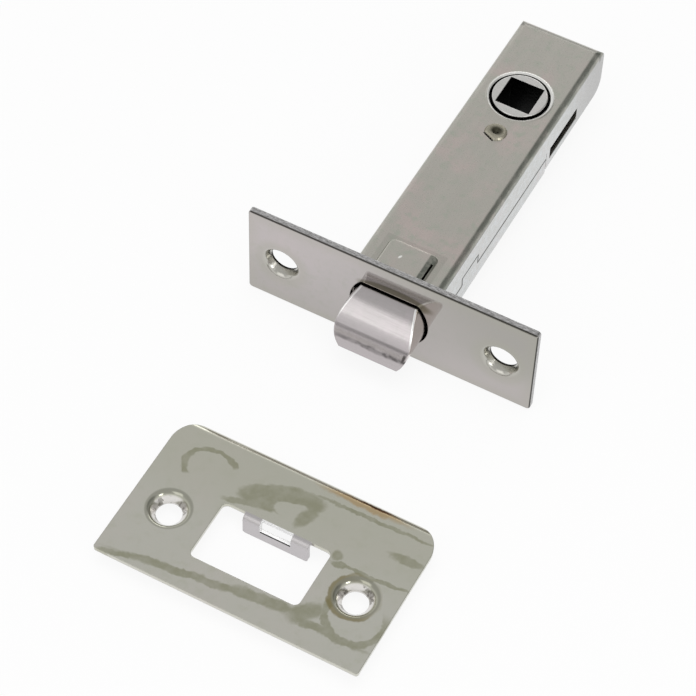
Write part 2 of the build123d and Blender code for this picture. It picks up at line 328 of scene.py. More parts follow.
def noise(tree, place, scale, detail=3.0, roughness=0.6):
    """Soft noise, with its scale in waves for each millimetre."""
    inputs = {"Vector": place, "Scale": scale, "Detail": detail, "Roughness": roughness}
    return put(tree, "ShaderNodeTexNoise", inputs).outputs


def ragged(tree, place, reach, scale):
    """A place shaken by noise, so that a border drawn with it runs unevenly."""
    shake = vector_of(tree, "SUBTRACT", noise(tree, place, scale)["Color"], (0.5, 0.5, 0.5))
    return vector_of(tree, "ADD", place, vector_of(tree, "MULTIPLY", shake, (reach, reach, reach)))


# Effects that several finishes share, as shader node groups
FLOAT = "NodeSocketFloat"
COLOUR = "NodeSocketColor"
VECTOR = "NodeSocketVector"
MID_GREY = (0.5, 0.5, 0.5, 1.0)
ORIGIN = (0.0, 0.0, 0.0)
EVENLY = (1.0, 1.0, 1.0)


def start_group(name, inputs, outputs):
    """Opens a shader node group with named inputs and outputs."""
    group = bpy.data.node_groups.new(name, "ShaderNodeTree")
    for label, kind, value in inputs:
        socket = group.interface.new_socket(label, in_out="INPUT", socket_type=kind)
        socket.default_value = value
    for label, kind in outputs:
        group.interface.new_socket(label, in_out="OUTPUT", socket_type=kind)
    entry = group.nodes.new("NodeGroupInput")
    leave = group.nodes.new("NodeGroupOutput")
    return group, entry.outputs, leave.inputs


def make_blotches():
    """Plating that drifts between three tints, in patches of two sizes."""
    group, given, out = start_group(
        "plating_blotches",
        [
            ("Color", COLOUR, MID_GREY),
            ("Warm", COLOUR, MID_GREY),
            ("Cool", COLOUR, MID_GREY),
            ("Patch", FLOAT, 0.15),
            ("Amount", FLOAT, 0.5),
        ],
        [("Color", COLOUR), ("Mask", FLOAT)],
    )
    place = place_in_mm(group)
    large = noise(group, place, given["Patch"])[0]
    small = noise(group, place, times(group, given["Patch"], 4.7), 4.0, 0.65)[0]
    warm = times(group, span(group, large, 0.45, 0.68), given["Amount"])
    cool = times(group, span(group, small, 0.48, 0.72), given["Amount"])
    warmed = blend_colour(group, warm, given["Color"], given["Warm"])
    feed(group, out["Color"], blend_colour(group, cool, warmed, given["Cool"]))
    feed(group, out["Mask"], small)
    return group


def make_drawn_lines():
    """Fine lines left by brushing or shearing, drawn out along the axis with the smallest stretch."""
    group, given, out = start_group(
        "drawn_lines",
        [("Stretch", VECTOR, EVENLY), ("Contrast", FLOAT, 0.3)],
        [("Lines", FLOAT)],
    )
    place = vector_of(group, "MULTIPLY", place_in_mm(group), given["Stretch"])
    coarse = noise(group, place, 1.0, 5.0, 0.7)[0]
    low = minus(group, 0.5, given["Contrast"])
    high = math_of(group, "ADD", 0.5, given["Contrast"])
    feed(group, out["Lines"], span(group, coarse, low, high))
    return group


def make_edge_finder():
    """Shows where a piece turns sharply, as a share from 0 on a flat to 1 on an edge."""
    group, given, out = start_group(
        "edge_finder",
        [("Width", FLOAT, 0.3), ("Gain", FLOAT, 3.0)],
        [("Edge", FLOAT), ("Normal", VECTOR)],
    )
    soft = put(group, "ShaderNodeBevel", {"Radius": times(group, given["Width"], MM)}, samples=6).outputs[0]
    true = put(group, "ShaderNodeNewGeometry").outputs["Normal"]
    turned = times(group, rest_of(group, dot_of(group, soft, true)), given["Gain"])
    feed(group, out["Edge"], span(group, turned, 0.0, 1.0))
    feed(group, out["Normal"], soft)
    return group


def make_hollow_shade():
    """Painted shade that darkens hollows and gaps, found by ambient occlusion."""
    group, given, out = start_group(
        "hollow_dirt",
        [("Reach", FLOAT, 3.0), ("Low", FLOAT, 0.2), ("High", FLOAT, 0.75)],
        [("Dirt", FLOAT)],
    )
    reach = times(group, given["Reach"], MM)
    open_share = put(group, "ShaderNodeAmbientOcclusion", {"Distance": reach}, samples=8).outputs["AO"]
    feed(group, out["Dirt"], rest_of(group, span(group, open_share, given["Low"], given["High"])))
    return group


def make_grain():
    """Fine pitting of rolled sheet."""
    group, given, out = start_group("sheet_grain", [("Scale", FLOAT, 3.0)], [("Grain", FLOAT)])
    feed(group, out["Grain"], noise(group, place_in_mm(group), given["Scale"], 4.0, 0.7)[0])
    return group


def make_stain_oval():
    """How far a point lies from the middle of a tilted oval: 0 in the middle and 1 on the border."""
    group, given, out = start_group(
        "stain_oval",
        [
            ("Place", VECTOR, ORIGIN),
            ("Middle", VECTOR, ORIGIN),
            ("Size", VECTOR, EVENLY),
            ("Tilt", FLOAT, 0.0),
        ],
        [("Level", FLOAT)],
    )
    offset = vector_of(group, "SUBTRACT", given["Place"], given["Middle"])
    turn = {"Vector": offset, "Angle": times(group, given["Tilt"], -1.0)}
    turned = put(group, "ShaderNodeVectorRotate", turn, rotation_type="Z_AXIS").outputs[0]
    shares = vector_of(group, "DIVIDE", turned, given["Size"])
    level = put(group, "ShaderNodeVectorMath", {0: shares}, operation="LENGTH").outputs["Value"]
    feed(group, out["Level"], level)
    return group


blotches = make_blotches()
drawn_lines = make_drawn_lines()
edge_finder = make_edge_finder()
hollow_dirt = make_hollow_shade()
sheet_grain = make_grain()
stain_oval = make_stain_oval()


# The shared effects, placed in one finish
def place_group(tree, group, inputs):
    """Adds a node group and gives its outputs."""
    return put(tree, "ShaderNodeGroup", inputs, node_tree=group).outputs


def plating(tree, colour, warm, cool, patch, amount):
    """The drifting base colour of a finish, with the noise behind it as its mask."""
    inputs = {"Color": colour, "Warm": warm, "Cool": cool, "Patch": patch, "Amount": amount}
    return place_group(tree, blotches, inputs)


def brushing(tree, stretch, contrast):
    """Drawn lines, stretched along the three axes."""
    return place_group(tree, drawn_lines, {"Stretch": stretch, "Contrast": contrast})["Lines"]


def edges(tree, width, gain):
    """The edges of a piece and its softened normal."""
    return place_group(tree, edge_finder, {"Width": width, "Gain": gain})


def shade_in_hollows(tree, reach, low, high):
    """Painted shade within a reach in millimetres, full below the low share of open sky and none over the
    high one.
    """
    return place_group(tree, hollow_dirt, {"Reach": reach, "Low": low, "High": high})["Dirt"]


def grain_of(tree, scale):
    """The grain of sheet, with its scale in waves for each millimetre."""
    return place_group(tree, sheet_grain, {"Scale": scale})["Grain"]


def oval(tree, place, middle, size, tilt=0.0):
    """The level of a point in an oval that lies flat: sizes in millimetres, tilt in degrees."""
    inputs = {"Place": place, "Middle": (*middle, 0.0), "Size": (*size, FAR), "Tilt": math.radians(tilt)}
    return place_group(tree, stain_oval, inputs)["Level"]


def filled(tree, level, soft=0.25):
    """1 inside an oval."""
    return below(tree, level, 1.0, soft)


def ringed(tree, level, width):
    """1 on the border of an oval."""
    return span(tree, off(tree, level, 1.0), width, width / 2)


def new_material(name, metallic=1.0):
    """A material with its Principled shader, whose plain sockets are set here."""
    material = bpy.data.materials.new(name)
    material.use_nodes = True
    tree = material.node_tree
    shader = tree.nodes["Principled BSDF"]
    shader.inputs["Metallic"].default_value = metallic
    return material, tree, shader


def finish_metal(tree, shader, colour, roughness, height, strength, normal):
    """Feeds the shader its colour, its roughness and a fine bump."""
    feed(tree, shader.inputs["Base Color"], colour)
    feed(tree, shader.inputs["Roughness"], roughness)
    inputs = {"Height": height, "Strength": strength, "Distance": 0.1 * MM, "Normal": normal}
    feed(tree, shader.inputs["Normal"], put(tree, "ShaderNodeBump", inputs).outputs[0])


# The faceplate's finish
def mouth_marks(tree, x, z):
    """The painted reflection of the bolt over its mouth, and a painted highlight on the mouth's upper edge.
    """
    (middle_x, middle_z), (half_long, half_tall) = MOUTH_REFLECTION
    right = times(tree, minus(tree, x, middle_x), 1 / half_long)
    up = times(tree, minus(tree, z, middle_z), 1 / half_tall)
    stain_and_reflection = below(tree, away_from(tree, right, up), 0.95, 0.3)
    over_mouth = near(tree, z, MOUTH_TOP + 0.12, 0.1, 0.1)
    # painted highlight along the mouth's upper edge
    edge_highlight = times(tree, over_mouth, near(tree, x, 0.0, MOUTH_EDGE_HALF, 1.0))
    return stain_and_reflection, edge_highlight


def make_plate_nickel():
    """Polished nickel of the faceplate, with its sheared edges and a dark front line, which is a painted
    reflection.
    """
    material, tree, shader = new_material("plate_nickel")
    base = plating(tree, tone(187, 181, 181), tone(195, 185, 187), tone(177, 176, 169), 0.11, 0.6)
    edge = edges(tree, 0.3, 4.0)
    lines = brushing(tree, (0.9, 5.2, 3.0), 0.16)
    x, y, z = along_axes(tree, place_in_mm(tree))
    middle = (plate_low + plate_high) / 2
    half = (plate_high - plate_low) / 2
    past_end = minus(tree, size_of(tree, x), half.x)
    past_edge = most(tree, past_end, minus(tree, off(tree, z, middle.z), half.z))
    behind = above(tree, y, FRONT_EDGE, 0.22)
    side = times(tree, above(tree, past_edge, -0.26, 0.28), behind)
    sheared = blend_colour(tree, lines, tone(128, 127, 126), tone(212, 211, 211))
    # painted reflection: a dark line along the plate's front edge
    front_edge_reflection = times(tree, above(tree, past_edge, -0.22, 0.16), rest_of(tree, behind))
    from_seat = away_from(tree, minus(tree, size_of(tree, x), SEAT_AT), z)
    in_seat = below(tree, from_seat, SEAT_HOLE + 1.0, 1.2)
    at_hole = below(tree, from_seat, SEAT_HOLE + 2 * SKIN, 0.08)
    # painted shade: the walls of the screw holes painted dark
    seat_wall = times(tree, at_hole, above(tree, y, SEAT_DEPTH - 0.1, 0.2))
    seat_halo = times(tree, below(tree, from_seat, SEAT_HOLE + 3.3, 3.0), 0.35)
    smudge = times(tree, above(tree, past_edge, -2.0, 3.6), 0.25)
    mouth_reflection, mouth_edge_highlight = mouth_marks(tree, x, z)
    # painted shade in the plate's hollows, outside the seats
    hollows_shade = times(tree, shade_in_hollows(tree, 1.5, 0.25, 0.6), rest_of(tree, in_seat))
    slant = times(tree, x, z, 1 / (half.x * half.z))
    colour = lay_coats(tree, base["Color"], [
        (span(tree, x, -half.x, half.x), 1.0, tone(171, 168, 164)),
        (span(tree, slant, -0.4, 0.6), 0.4, tone(156, 154, 146)),
        (span(tree, slant, 0.1, -0.5), 0.5, tone(190, 183, 182)),
        (most(tree, smudge, seat_halo), 1.0, tone(166, 166, 152)),
        # painted reflection of the bolt over the mouth, darker and olive
        (mouth_reflection, 0.9, tone(114, 110, 93)),
        # painted highlight on the mouth's upper edge
        (mouth_edge_highlight, 0.8, tone(226, 220, 208)),
        (side, 1.0, sheared),
        (front_edge_reflection, 0.92, tone(30, 28, 26)),
        (in_seat, 0.6, tone(200, 199, 191)),
        (hollows_shade, 0.6, tone(60, 56, 46)),
        (seat_wall, 1.0, tone(40, 38, 32)),
    ])
    polish = span(tree, base["Mask"], 0.3, 0.7, 0.03, 0.07)
    dulled = most(tree, times(tree, side, 0.3), times(tree, in_seat, 0.16))
    roughness = math_of(tree, "ADD", polish, dulled)
    finish_metal(tree, shader, colour, roughness, grain_of(tree, 1.8), 0.03, edge["Normal"])
    return material


# The bolt's finish
def bevel_dark_reflections(tree, place, to_side):
    """Painted dark reflections across the bolt's bevel: two dark bands and a dark patch at the end beside
    them.
    """
    x, y, z = along_axes(tree, place)
    uneven = along_axes(tree, ragged(tree, place, 1.0, 0.5))[2]
    patchy = span(tree, noise(tree, place, 0.55, 3.0, 0.7)[0], 0.36, 0.6, 0.5, 1.0)
    thin_line = times(tree, near(tree, z, 0.0, 0.3, 0.5), 0.45)
    wide_line = times(tree, near(tree, uneven, WIDE_LINE_LEVEL, 0.45, 0.7), patchy)
    dark_end = times(
        tree,
        near(tree, to_side, DARK_END_IN, 0.3, 0.3),
        near(tree, z, DARK_END_LEVEL, 1.0, 0.8),
        above(tree, x, 0.0, 1.0),
    )
    darkened = most(tree, thin_line, wide_line, dark_end)
    fading = span(tree, x, -9.0, 5.0, 0.65, 1.0)
    return times(tree, darkened, below(tree, y, BEVEL_PAINT_FROM, 0.6), fading)


def make_bolt_nickel():
    """Nickel of the bolt, brushed along the plate, with painted highlights, painted dark reflections and
    painted shade.
    """
    material, tree, shader = new_material("bolt_nickel")
    base = plating(tree, tone(190, 185, 185), tone(197, 189, 191), tone(182, 180, 177), 0.16, 0.5)
    lines = brushing(tree, (0.08, 3.2, 3.2), 0.2)
    edge = edges(tree, 0.3, 3.0)
    place = place_in_mm(tree)
    x, y, z = along_axes(tree, place)
    to_side = minus(tree, BOLT_HALF, away_from(tree, x, z))
    # painted highlight along the bevel's right edge
    edge_highlight = times(
        tree,
        near(tree, to_side, EDGE_HIGHLIGHT_IN, 0.17, 0.08),
        span(tree, x, -1.0, 1.0, 0.6, 1.0),
        above(tree, y, BEVEL_PAINT_FROM, 1.6),
    )
    # painted highlight: the bolt's right side painted lighter
    flank_highlight = times(tree, below(tree, to_side, 2 * SKIN, 2 * SKIN), above(tree, x, 0.0, 1.0))
    # painted shade in the bolt's hollows and behind the mouth
    in_mouth = most(tree, shade_in_hollows(tree, 1.5, 0.2, 0.6), above(tree, y, MOUTH_FROM, 0.4))
    colour = lay_coats(tree, base["Color"], [
        (lines, 0.08, tone(110, 106, 104)),
        # painted reflection: the nose painted a little darker
        (below(tree, y, NOSE_FROM, 3.0), 0.6, tone(184, 177, 179)),
        (flank_highlight, 0.8, tone(226, 217, 214)),
        # painted reflection: dark bands across the bevel
        (bevel_dark_reflections(tree, place, to_side), 0.85, tone(66, 62, 61)),
        (edge_highlight, 0.9, tone(255, 254, 252)),
        (in_mouth, 0.85, tone(44, 38, 32)),
    ])
    roughness = span(tree, lines, 0.0, 1.0, 0.17, 0.24)
    finish_metal(tree, shader, colour, roughness, lines, 0.05, edge["Normal"])
    return material


# The case's finish
def case_inside(tree, place):
    """1 on the faces inside the case, but not on the cover's outer faces where it nests in the shell."""
    x, y, z = along_axes(tree, place)
    normal = put(tree, "ShaderNodeNewGeometry").outputs["Normal"]
    nested = times(
        tree,
        above(tree, dot_of(tree, place, normal), 1.0, 0.5),
        above(tree, y, SEAM_END, 0.2),
        below(tree, z, 0.0, 0.2),
    )
    return times(
        tree,
        rest_of(tree, nested),
        near(tree, x, 0.0, CASE_HALF - SHEET + SKIN, SKIN_SOFT),
        below(tree, z, CASE_TOP - SHEET + SKIN, SKIN_SOFT),
        above(tree, z, CASE_BOTTOM + SHEET - SKIN, SKIN_SOFT),
        below(tree, y, CASE_END - SHEET + SKIN, SKIN_SOFT),
    )


def bend_marks(tree, place):
    """Painted shade on the bends along the top, mottled, a painted dark crease line under the right one, and
    painted shade on the bend at the rear.
    """
    x, y, z = along_axes(tree, place)
    drawn_out = vector_of(tree, "MULTIPLY", place, (1.0, 0.3, 1.0))
    bend_shade = times(
        tree,
        above(tree, size_of(tree, x), CASE_HALF - 0.8 * CASE_BEND, 0.4),
        above(tree, z, CASE_TOP - CASE_BEND, 0.5),
        span(tree, noise(tree, drawn_out, 0.7)[0], 0.34, 0.6, 0.45, 1.0),
        span(tree, x, -1.0, 1.0, 0.3, 1.0),
    )
    crease_shade = times(
        tree,
        near(tree, z, CASE_TOP - CASE_BEND, 0.1, 0.12),
        above(tree, x, CASE_HALF - 0.2, 0.1),
        below(tree, y, CREASE_END, 30.0),
    )
    rear = times(tree, near(tree, y, REAR_BEND_AT, 0.55, 0.7), above(tree, z, REAR_BEND_FOOT, 1.0))
    return bend_shade, crease_shade, rear


def panel_marks(tree, x, y, z):
    """Painted light and shade on the raised panel: shading on its slope, painted shade on the slope's right
    end, a painted highlight along its crest and painted shade at its foot.
    """
    on_panel = times(tree, near(tree, x, 0.0, PANEL_HALF, 0.1), below(tree, y, PANEL_END, 0.1))
    slope_shading = times(tree, on_panel, near(tree, z, CASE_TOP + PANEL_HEIGHT / 2, 0.45 * PANEL_HEIGHT, 0.1))
    shaded = times(tree, slope_shading, above(tree, x, PANEL_SLOPE_FROM, 0.2))
    under_top = near(tree, z, CASE_TOP + PANEL_HEIGHT - 0.17, 0.11, 0.06)
    crest_highlight = times(tree, on_panel, under_top, below(tree, x, PANEL_SLOPE_FROM, 0.6))
    foot_shade = times(tree, on_panel, near(tree, z, CASE_TOP + 0.1, 0.09, 0.06))
    return slope_shading, shaded, crest_highlight, foot_shade


def seam_shade_lines(tree, y, z):
    """Painted shade along the seam between shell and cover, which runs round the locking tab."""
    from_lock = off(tree, y, LOCK_MIDDLE)
    seam = times(
        tree,
        near(tree, z, SEAM_LEVEL, 0.36, 0.3),
        above(tree, from_lock, LOCK_HALF, 0.3),
        below(tree, y, SEAM_END, 0.4),
    )
    past_lock = most(tree, minus(tree, from_lock, LOCK_HALF), minus(tree, z, LOCK_TOP))
    lock = times(tree, near(tree, past_lock, 0.0, 0.28, 0.3), above(tree, z, SEAM_LEVEL - 0.2, 0.2))
    return most(tree, seam, lock)


def make_case_zinc():
    """Satin zinc of the folded case: painted shade on the bends and inside, faint pink and green patches."""
    material, tree, shader = new_material("case_zinc")
    base = plating(tree, tone(190, 187, 179), tone(200, 188, 183), tone(180, 184, 172), 0.1, 0.9)
    grain = grain_of(tree, 2.6)
    edge = edges(tree, 0.25, 3.0)
    place = place_in_mm(tree)
    x, y, z = along_axes(tree, place)
    mottle = noise(tree, place, 0.7, 2.0, 0.6)[0]
    rolled = brushing(tree, (0.55, 0.03, 0.55), 0.2)
    on_side = above(tree, size_of(tree, x), CASE_HALF - 0.12, 0.1)
    wall = times(tree, on_side, below(tree, z, CASE_TOP - CASE_BEND, 0.4))
    from_spindle = away_from(tree, x, minus(tree, y, SPINDLE_AT))
    hole_wall = below(tree, from_spindle, HUB_HOLE + SKIN, SKIN_SOFT)
    rim_width = span(tree, y, SPINDLE_AT - RIM_REACH, SPINDLE_AT + RIM_REACH, RIM_NARROW, RIM_WIDE)
    # painted highlight on the rim round the hub hole, wider on the far side
    rim_highlight = below(tree, minus(tree, from_spindle, rim_width), HUB_HOLE, 0.4)
    bend_shade, crease_shade, rear = bend_marks(tree, place)
    slope_shading, shaded, crest_highlight, foot_shade = panel_marks(tree, x, y, z)
    pip_glint = filled(tree, oval(tree, place, *PANEL_GLINT), 0.8)
    colour = lay_coats(tree, base["Color"], [
        (span(tree, grain, 0.5, 0.75), 0.04, tone(158, 156, 148)),
        (rolled, 0.2, tone(174, 172, 165)),
        # painted light: the side walls painted lighter and bluer, with mottling
        (wall, span(tree, mottle, 0.3, 0.62, 0.85, 0.5), tone(212, 216, 219)),
        # painted shade: the side walls painted darker towards the rear
        (times(tree, wall, span(tree, y, WALL_DIM_FROM, WALL_DIM_TO)), 0.8, tone(172, 171, 170)),
        (edge["Edge"], 0.5, tone(232, 231, 227)),
        # painted light and shade on the raised panel: slope, shaded end, crest highlight, dark foot
        (slope_shading, 0.75, tone(170, 171, 161)),
        (shaded, span(tree, mottle, 0.38, 0.58, 0.25, 1.0), tone(132, 135, 127)),
        (foot_shade, 0.5, tone(112, 110, 100)),
        (crest_highlight, 0.9, tone(250, 249, 244)),
        # painted shade along the seam and round the locking tab
        (times(tree, seam_shade_lines(tree, y, z), on_side), 0.75, tone(72, 72, 66)),
        (rim_highlight, 0.8, tone(248, 248, 245)),
        # painted shade on the bend at the rear
        (rear, 0.9, tone(130, 129, 123)),
        # painted shade on the top bends, and a painted dark crease under the right one
        (bend_shade, 0.8, tone(126, 130, 122)),
        (crease_shade, 0.9, tone(30, 30, 28)),
        # painted glint on the dent in the raised panel
        (pip_glint, 1.0, tone(250, 250, 245)),
        # painted shade in the case's hollows and gaps
        (shade_in_hollows(tree, 0.8, 0.15, 0.55), 0.85, tone(34, 32, 27)),
        # painted shade: the inside of the case and the wall of the hub hole painted black
        (most(tree, case_inside(tree, place), hole_wall), 1.0, tone(16, 16, 14)),
    ])
    roughness = span(tree, grain, 0.3, 0.7, 0.26, 0.36)
    finish_metal(tree, shader, colour, roughness, grain, 0.015, edge["Normal"])
    return material


def make_stop_zinc():
    """The spring stop, whose staked head shows on the case: olive, dark round the punch mark."""
    material, tree, shader = new_material("stop_zinc")
    base = plating(tree, tone(170, 166, 151), tone(182, 176, 160), tone(140, 136, 117), 0.6, 0.8)
    edge = edges(tree, 0.2, 4.0)
    grain = grain_of(tree, 3.0)
    place = place_in_mm(tree)
    z = along_axes(tree, place)[2]
    punch = filled(tree, oval(tree, ragged(tree, place, 0.5, 1.2), *PUNCH_MARK), 0.9)
    # painted shade: the stop painted near black where it lies inside the case
    hidden = times(tree, below(tree, z, CASE_TOP - 0.1, 0.1), above(tree, z, CASE_BOTTOM + 0.1, 0.1))
    colour = lay_coats(tree, base["Color"], [
        (edge["Edge"], 0.3, tone(214, 213, 203)),
        (punch, 0.9, tone(42, 41, 30)),
        (hidden, 1.0, tone(26, 25, 22)),
    ])
    roughness = span(tree, grain, 0.3, 0.7, 0.2, 0.36)
    finish_metal(tree, shader, colour, roughness, grain, 0.2, edge["Normal"])
    return material


def make_follower_steel():
    """Satin steel of the follower: bright on its two ends, painted black as shade in the bore and below the
    rim.
    """
    material, tree, shader = new_material("follower_steel")
    base = plating(tree, tone(212, 211, 208), tone(216, 209, 208), tone(200, 203, 199), 0.3, 0.6)
    lines = brushing(tree, (0.9, 0.9, 2.6), 0.25)
    edge = edges(tree, 0.2, 3.0)
    x, y, z = along_axes(tree, place_in_mm(tree))
    middle = (follower_low.z + follower_high.z) / 2
    half = (follower_high.z - follower_low.z) / 2
    depth = minus(tree, half, off(tree, z, middle))
    reach = most(tree, size_of(tree, x), off(tree, y, SPINDLE_AT))
    # painted shade: the bore and the hub below its rim painted black
    bore = times(tree, below(tree, reach, SQUARE_HALF + SKIN, SKIN_SOFT), above(tree, depth, 0.2, 0.3))
    under_rim = above(tree, depth, HUB_FACE, 0.2)
    colour = lay_coats(tree, base["Color"], [
        (edge["Edge"], 0.5, tone(244, 243, 240)),
        (most(tree, bore, under_rim), 1.0, tone(14, 15, 15)),
    ])
    roughness = span(tree, lines, 0.0, 1.0, 0.24, 0.36)
    finish_metal(tree, shader, colour, roughness, lines, 0.08, edge["Normal"])
    return material


# The strike's finish
def water_stains(tree, place, uneven):
    """Olive bands, a leaf with a bare island, a loop and a hook, left by water."""
    x, y = along_axes(tree, place)[:2]
    bands = [filled(tree, oval(tree, uneven, *stain_and_reflection), 0.55) for stain_and_reflection in WATER_STAINS.values()]
    island = filled(tree, oval(tree, uneven, *LEAF_ISLAND))
    leaf = times(tree, filled(tree, oval(tree, uneven, *LEAF), 0.2), rest_of(tree, island))
    loop = times(tree, ringed(tree, oval(tree, uneven, *LOOP), 0.17), below(tree, y, STRIKE_ROW - 2.0, 4.0))
    hook_x, hook_y = HOOK[0]
    open_way = minus(tree, times(tree, minus(tree, y, hook_y), 1.5), minus(tree, x, hook_x))
    hook = times(tree, ringed(tree, oval(tree, uneven, *HOOK), 0.16), above(tree, open_way, -0.9, 1.6))
    drift = span(tree, noise(tree, place, 0.3)[0], 0.3, 0.65, 0.65, 1.0)
    return times(tree, most(tree, *bands, leaf, loop, hook), drift)


def gold_round_seat(tree, place):
    """A gold ring round the right seat, fainter towards the far corner."""
    x, y = along_axes(tree, place)[:2]
    ring = ringed(tree, oval(tree, ragged(tree, place, 1.8, 0.3), *GOLD_RING), 0.2)
    near_way = minus(tree, minus(tree, GOLD_RING[0][0] + 1.0, x), minus(tree, y, STRIKE_ROW))
    return times(tree, ring, span(tree, near_way, -6.0, 3.0, 0.2, 1.0))


def tab_masks(tree, x, y, z):
    """The folded tab, the inner faces of its slot, painted white as a reflection, and the foot of the slot,
    painted dark as shade.
    """
    tab = times(
        tree,
        near(tree, x, TAB_MIDDLE, TAB_HALF, 0.2),
        above(tree, y, TAB_FRONT - 0.3, 0.1),
        below(tree, y, TAB_BACK, 0.3),
    )
    slot_side = times(
        tree,
        tab,
        near(tree, x, TAB_MIDDLE, TAB_SLOT_HALF + 0.05, 0.06),
        above(tree, z, TAB_SLOT_FOOT - 0.05, 0.06),
    )
    slot_foot = times(
        tree,
        near(tree, z, TAB_SLOT_FOOT, 0.05, 0.06),
        near(tree, x, TAB_MIDDLE, TAB_SLOT_HALF, 0.1),
        below(tree, y, TAB_FRONT + 0.25, 0.1),
    )
    return tab, slot_side, slot_foot


def make_strike_nickel():
    """Bright nickel of the strike, with olive water bands and brown-gold stains at one end."""
    material, tree, shader = new_material("strike_nickel")
    base = plating(tree, tone(203, 202, 192), tone(206, 202, 194), tone(196, 196, 182), 0.07, 0.6)
    edge = edges(tree, 0.25, 3.0)
    place = place_in_mm(tree)
    x, y, z = along_axes(tree, place)
    uneven = ragged(tree, ragged(tree, place, 2.2, 0.22), 0.9, 0.9)
    olive = water_stains(tree, place, uneven)
    seat_side = minus(tree, off(tree, x, TAB_MIDDLE), STRIKE_SEAT_AT)
    from_seat = away_from(tree, seat_side, minus(tree, y, STRIKE_ROW))
    seat_lip = times(
        tree,
        above(tree, from_seat, STRIKE_SEAT_RIM - 0.9, 0.3),
        below(tree, from_seat, STRIKE_SEAT_RIM + 0.3, 0.5),
    )
    pressed = below(tree, z, STRIKE_PRESSED, 0.5)
    marks = span(tree, brushing(tree, (0.5, 0.5, 0.1), 0.12), 0.55, 0.85)
    streaks = times(tree, pressed, marks, below(tree, from_seat, STRIKE_SEAT_RIM, 0.4))
    tab, slot_side, slot_foot = tab_masks(tree, x, y, z)
    off_tab = rest_of(tree, tab)
    colour = lay_coats(tree, base["Color"], [
        (span(tree, y, STRIKE_TINT_FROM, STRIKE_TINT_TO), 0.5, tone(192, 192, 175)),
        (olive, 0.8, tone(153, 153, 128)),
        (gold_round_seat(tree, place), 0.75, tone(134, 123, 78)),
        (filled(tree, oval(tree, uneven, *GOLD_EDGE), 0.9), 0.75, tone(186, 158, 112)),
        (filled(tree, oval(tree, uneven, *BROWN_EDGE), 0.9), 0.85, tone(104, 62, 34)),
        (seat_lip, 0.7, tone(150, 150, 136)),
        (pressed, 0.8, tone(224, 221, 219)),
        (streaks, 0.6, tone(92, 88, 78)),
        (tab, 0.8, tone(192, 188, 191)),
        (times(tree, edge["Edge"], off_tab), 0.45, tone(84, 80, 70)),
        # painted shade in the strike's hollows, off the tab
        (times(tree, shade_in_hollows(tree, 1.0, 0.2, 0.5), off_tab), 0.4, tone(70, 66, 52)),
        # painted reflection: the slot's inner faces painted white and not metal
        (slot_side, 1.0, WHITE),
        # painted shade: the foot of the slot painted black
        (slot_foot, 1.0, tone(14, 14, 12)),
    ])
    polish = span(tree, base["Mask"], 0.3, 0.7, 0.1, 0.17)
    dulled = most(tree, times(tree, olive, 0.04), times(tree, tab, 0.28))
    roughness = math_of(tree, "ADD", polish, dulled)
    feed(tree, shader.inputs["Metallic"], rest_of(tree, slot_side))
    finish_metal(tree, shader, colour, roughness, base["Mask"], 0.04, edge["Normal"])
    return material


def make_steel(name, colour, shade, roughness):
    """Plain worked steel of the inner pieces, with drawn marks and painted shade in its hollows."""
    material, tree, shader = new_material(name)
    base = plating(tree, colour, shade, shade, 0.2, 0.6)
    lines = brushing(tree, (0.9, 0.9, 2.6), 0.25)
    edge = edges(tree, 0.25, 3.0)
    darkened = lay_coats(tree, base["Color"], [
        (edge["Edge"], 0.3, tone(190, 188, 182)),
        # painted shade in the hollows of the inner steel
        (shade_in_hollows(tree, 4.0, 0.25, 0.85), 0.9, tone(18, 18, 17)),
    ])
    mattness = span(tree, lines, 0.0, 1.0, roughness - 0.07, roughness + 0.1)
    finish_metal(tree, shader, darkened, mattness, lines, 0.1, edge["Normal"])
    return material


# The pieces
def coat_piece(piece, material):
    """Gives a piece one material."""
    piece.data.materials.clear()
    piece.data.materials.append(material)


def coil_path(length, wire, turns):
    """Angle and distance along the axis for each step of a coil whose first turn lies closed."""
    steps = SPRING_STEPS * turns
    for step in range(steps + 1):
        turn = step / SPRING_STEPS
        along = length * step / steps
        if turn < 1:
            along = min(along, CLOSED_PITCH * wire * turn)
        yield 2 * math.pi * turn, along


def coil_rings(grid, node, wire, turns):
    """The rings of points round the wire, one for each step of the coil."""
    low, high = box_in_mm(node)
    radius = (high.x - low.x) / 2 - wire
    front = low.y + wire
    length = high.y - low.y - 2 * wire
    for angle, along in coil_path(length, wire, turns):
        outward = Vector((math.cos(angle), 0, math.sin(angle)))
        centre = outward * radius + Vector((0, front + along, 0))
        ring = []
        for side in range(WIRE_SIDES):
            around = 2 * math.pi * side / WIRE_SIDES
            offset = outward * (wire * math.cos(around)) + Vector((0, wire * math.sin(around), 0))
            ring.append(grid.verts.new((centre + offset) * MM))
        yield ring


def make_coil(node, wire, turns, material):
    """A coil spring along Y, as a mesh in the place of the plain one."""
    grid = bmesh.new()
    rings = list(coil_rings(grid, node, wire, turns))
    for first, second in zip(rings, rings[1:]):
        for side in range(WIRE_SIDES):
            nxt = (side + 1) % WIRE_SIDES
            grid.faces.new((first[side], first[nxt], second[nxt], second[side]))
    grid.faces.new(rings[0][::-1])
    grid.faces.new(rings[-1])
    bmesh.ops.recalc_face_normals(grid, faces=grid.faces)
    mesh = bpy.data.meshes.new(node + "_coil")
    grid.to_mesh(mesh)
    grid.free()
    for face in mesh.polygons:
        face.use_smooth = True
    piece = bpy.data.objects.new(node + "_coil", mesh)
    scene.collection.objects.link(piece)
    coat_piece(piece, material)
    return piece


def place_spring(node, wire, turns, material, body):
    """Puts a coil in the place of a plain spring, on the body that carries it."""
    coil = make_coil(node, wire, turns, material)
    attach(coil, body)
    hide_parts(node)
    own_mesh(coil)


